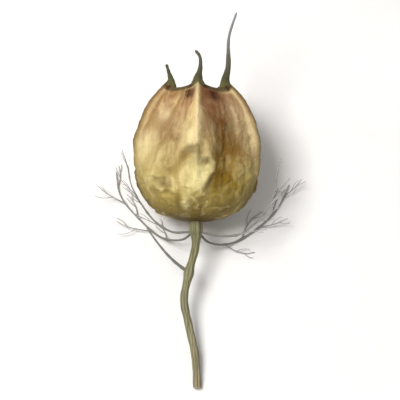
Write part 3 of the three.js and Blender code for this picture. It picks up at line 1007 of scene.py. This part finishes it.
def tapered(radii, knots=()):
    """A radius that shrinks along a thread, with a small swelling where others leave it."""

    def radius_at(share, angle):
        radius = lerp(radii[0], radii[1], share**0.8) * (1 + 0.06 * np.sin(41 * share + 2 * angle))
        for knot in knots:
            radius = radius * (1 + 0.45 * np.exp(-(((share - knot) / 0.022) ** 2)))
        return radius

    return radius_at


def lobe_points(root, forward, sideways, outward, length):
    """A thread that leaves its parent at root, swings to one side and curls on along the parent's direction."""
    reach = [(0, 0, 0), (0.3, 0.3, 0.04), (0.66, 0.52, 0.12), (1, 0.58, 0.2)]
    points = [root + length * (a * forward + b * sideways + c * outward) for a, b, c in reach]
    return above_surface(points, SURFACE_CLEARANCE)


def across_of(root, forward, turn):
    """Directions outward from the pod's axis and sideways across a thread, to the side that turn gives."""
    outward = np.array([root[0], 0, root[2]])
    outward /= np.linalg.norm(outward)
    sideways = np.cross(forward, outward)
    return outward, turn * sideways / np.linalg.norm(sideways)


def build_bract(name, route, lobes, material):
    """One bract: its middle thread, its lobes, and the finer forks of each lobe."""
    shape = Shape()
    leaving = np.array([route[0][0], 0, route[0][2]])
    start = leaving / np.linalg.norm(leaving) * RECEPTACLE_RADIUS * 0.7 + [0, BRACT_RING_HEIGHT, 0]
    points = np.vstack([start, above_surface(route, SURFACE_CLEARANCE + 0.2)])
    places = [lerp(0.3, 0.88, i / (lobes - 1)) for i in range(lobes)]
    curve, ahead = tube(shape, points, tapered(BRACT_RADIUS, places), 10, 120, tip=0.02, age=0.2)
    for i, place in enumerate(places):
        at = round(place * (len(curve) - 1))
        outward, sideways = across_of(curve[at], ahead[at], 1 if i % 2 else -1)
        length = LOBE_LENGTH * lerp(1, 0.55, place) * lerp(0.85, 1.15, (i * 0.618) % 1)
        lobe = lobe_points(curve[at], ahead[at], sideways, outward, length)
        lobe_radius = tapered(LOBE_RADIUS, FORK_PLACES)
        lobe_curve, lobe_ahead = tube(shape, lobe, lobe_radius, 8, 48, tip=0.04, age=0.5)
        for j, fork_place in enumerate(FORK_PLACES):
            at = round(fork_place * (len(lobe_curve) - 1))
            outward, sideways = across_of(lobe_curve[at], lobe_ahead[at], -1 if j % 2 else 1)
            fork_length = length * lerp(0.5, 0.36, j) * lerp(0.8, 1.2, ((i + 2 * j) * 0.618) % 1)
            fork = lobe_points(lobe_curve[at], lobe_ahead[at], sideways, outward, fork_length)
            tube(shape, fork, tapered(FORK_RADIUS), 6, 24, tip=0.06, age=0.8)
    return shape.piece("pod_" + name, name, "bract", material)


def build_leaf(material):
    """The thread-like leaf of the stem, curled at its tip."""
    shape = Shape()
    node, _ = smooth_curve([(x, y, 0) for x, y in STEM_ROUTE], 401)
    root = node[round(LEAF_NODE_DEPTH / STEM_LENGTH * 400)]
    tube(shape, [root, *LEAF_ROUTE], tapered(LEAF_RADIUS), 10, 90, tip=0.03, age=0.05)
    return shape.piece("pod_leaf", "stem_leaf", "bract", material)


# The surface, the light and the camera


def floor_material():
    s = Shader("pale_surface")
    place = s.tree.nodes.new("ShaderNodeTexCoord").outputs["Object"]
    grain = s.noise(place, scale=60, detail=3)
    s.set(s.surface, Base_Color=s.ramp(grain, (0.3, "#e3e2e5"), (0.7, "#e9e8eb")), Roughness=0.85)
    return s.material


def build_floor():
    size = 1.5
    mesh = bpy.data.meshes.new("surface")
    corners = [(-size, -size, 0), (size, -size, 0), (size, size, 0), (-size, size, 0)]
    mesh.from_pydata(corners, [], [(0, 1, 2, 3)])
    mesh.materials.append(floor_material())
    floor = bpy.data.objects.new("surface", mesh)
    bpy.context.scene.collection.objects.link(floor)
    floor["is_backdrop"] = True


def area_light(name, place, size, power, colour):
    light = bpy.data.lights.new(name, "AREA")
    light.size = size
    light.energy = power
    light.color = colour
    thing = bpy.data.objects.new(name, light)
    thing.location = place
    thing.rotation_euler = (-Vector(place)).to_track_quat("-Z", "Y").to_euler()
    bpy.context.scene.collection.objects.link(thing)


def build_light():
    """A soft window-like light from the upper left, and a white surround that is brightest overhead."""
    area_light("key", (-0.18, -0.02, 0.44), 0.2, 2.4, (1.0, 0.99, 0.93))
    area_light("fill", (0.4, -0.2, 0.5), 0.4, 0.1, (1.0, 0.99, 0.94))
    world = bpy.data.worlds.new("studio")
    world.use_nodes = True
    nodes, links = world.node_tree.nodes, world.node_tree.links
    split = nodes.new("ShaderNodeSeparateXYZ")
    climb = nodes.new("ShaderNodeMapRange")
    climb.inputs["To Min"].default_value = 0.08
    climb.inputs["To Max"].default_value = 0.6
    links.new(nodes.new("ShaderNodeTexCoord").outputs["Generated"], split.inputs["Vector"])
    links.new(split.outputs["Z"], climb.inputs["Value"])
    nodes["Background"].inputs["Color"].default_value = (1, 0.995, 0.95, 1)
    links.new(climb.outputs["Result"], nodes["Background"].inputs["Strength"])
    bpy.context.scene.world = world
    bpy.context.scene.view_settings.view_transform = "Standard"


CAMERA_ELEVATION = 68
CAMERA_ROLL = 0.8  # degrees, so that the pod leans a little to the right
CAMERA_FIELD = 12  # degrees, a long lens
FRAME_FILL = 0.94


def build_camera():
    """A long lens that looks down on the pod from the stem's side and takes in all of it."""
    elevation = math.radians(CAMERA_ELEVATION)
    back = np.array([0, -math.cos(elevation), math.sin(elevation)])
    roll = math.radians(CAMERA_ROLL)
    level_up = np.array([0, math.sin(elevation), math.cos(elevation)])
    level_right = np.array([1.0, 0, 0])
    up = math.cos(roll) * level_up - math.sin(roll) * level_right
    right = math.cos(roll) * level_right + math.sin(roll) * level_up
    points = np.vstack(
        [[tuple(piece.matrix_world @ v.co) for v in piece.data.vertices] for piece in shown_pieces()]
    )
    aim = points.mean(axis=0)
    reach = math.tan(math.radians(CAMERA_FIELD / 2)) * FRAME_FILL
    distance = 0.5
    for _ in range(8):
        offset = points - aim
        depth = distance - offset @ back
        x, y = offset @ right / depth, offset @ up / depth
        aim = aim + distance * ((x.max() + x.min()) / 2 * right + (y.max() + y.min()) / 2 * up)
        distance *= max(np.ptp(x), np.ptp(y)) / 2 / reach
    camera = bpy.data.cameras.new("camera")
    camera.lens_unit = "FOV"
    camera.angle = math.radians(CAMERA_FIELD)
    thing = bpy.data.objects.new("camera", camera)
    thing.matrix_world = Matrix.Translation(Vector(aim + distance * back)) @ Matrix(
        [(*row, 0) for row in np.stack([right, up, back], axis=1)] + [(0, 0, 0, 1)]
    )
    bpy.context.scene.collection.objects.link(thing)
    bpy.context.scene.camera = thing


build_capsule(capsule_material())
build_stem(stem_material())
threads = thread_material()
for bract_name, bract in BRACTS.items():
    build_bract(bract_name, bract["route"], bract["lobes"], threads)
build_leaf(threads)
build_floor()
build_light()
build_camera()
